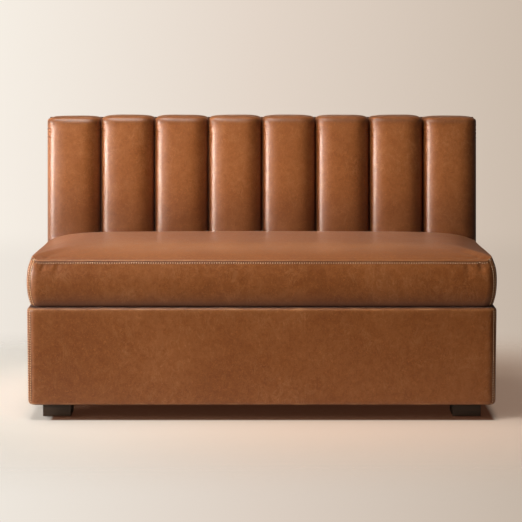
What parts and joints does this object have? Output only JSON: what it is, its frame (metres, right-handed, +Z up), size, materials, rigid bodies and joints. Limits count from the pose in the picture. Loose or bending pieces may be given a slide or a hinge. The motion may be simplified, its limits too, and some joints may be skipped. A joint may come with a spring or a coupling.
{
  "type": "dining banquette",
  "caption": "Upholstered dining bench in tan leather: boxed plinth on square wooden feet, crowned tight seat and an upright channelled back.",
  "frame": {"origin": "on the floor, under the middle of the plan", "axes": "+X to the right seen from the front, along the bench; -Y out of the front; +Z up"},
  "size_m": [1.32, 0.66, 0.828],
  "materials": {
    "leather": "smooth semi-aniline tan, satin",
    "foot_wood": "dark stained, satin",
    "nylon": "matte",
    "steel": "zinc plated",
    "foam": "open-cell polyurethane foam, matte",
    "fibre": "polyester fibre, matte",
    "lining_cloth": "non-woven, matte",
    "hardboard": "raw, matte",
    "plywood": "raw birch, matte",
    "hardwood": "raw beech, matte"
  },
  "bodies": {
    "root": {"base_front_panel": "plywood", "base_rear_panel": "plywood", "base_left_panel": "plywood", "base_right_panel": "plywood", "base_dividers": "plywood", "base_corner_blocks": "hardwood", "base_front_cleat": "hardwood", "base_seat_bearer": "hardwood", "base_padding": "foam", "base_leather_front": "leather", "base_leather_left": "leather", "base_leather_right": "leather", "base_leather_rear": "leather", "dust_cover": "lining_cloth", "foot_front_left": "foot_wood", "foot_front_right": "foot_wood", "foot_rear_left": "foot_wood", "foot_rear_right": "foot_wood", "foot_glides": "nylon", "foot_hanger_bolts": "steel", "foot_tee_nuts": "steel", "seat_front_rail": "hardwood", "seat_rear_rail": "hardwood", "seat_side_rails": "hardwood", "seat_centre_rail": "hardwood", "seat_springs": "steel", "seat_spring_clips": "steel", "seat_insulator": "lining_cloth", "seat_foam": "foam", "seat_fibre_wrap": "fibre", "seat_leather_top": "leather", "seat_leather_front": "leather", "seat_leather_left": "leather", "seat_leather_right": "leather", "seat_leather_rear": "leather", "seat_screws": "steel", "back_posts": "hardwood", "back_side_panels": "plywood", "back_ribs": "plywood", "back_top_rail": "hardwood", "back_bottom_rail": "hardwood", "back_inner_board": "plywood", "back_foam_channels": "foam", "back_channel_1": "leather", "back_channel_2": "leather", "back_channel_3": "leather", "back_channel_4": "leather", "back_channel_5": "leather", "back_channel_6": "leather", "back_channel_7": "leather", "back_channel_8": "leather", "back_side_padding": "foam", "back_leather_left": "leather", "back_leather_right": "leather", "back_leather_rear": "leather", "back_outer_board": "hardboard", "back_bolts": "steel", "back_bolt_washers": "steel", "back_bolt_nuts": "steel"}
  },
  "joints": []
}
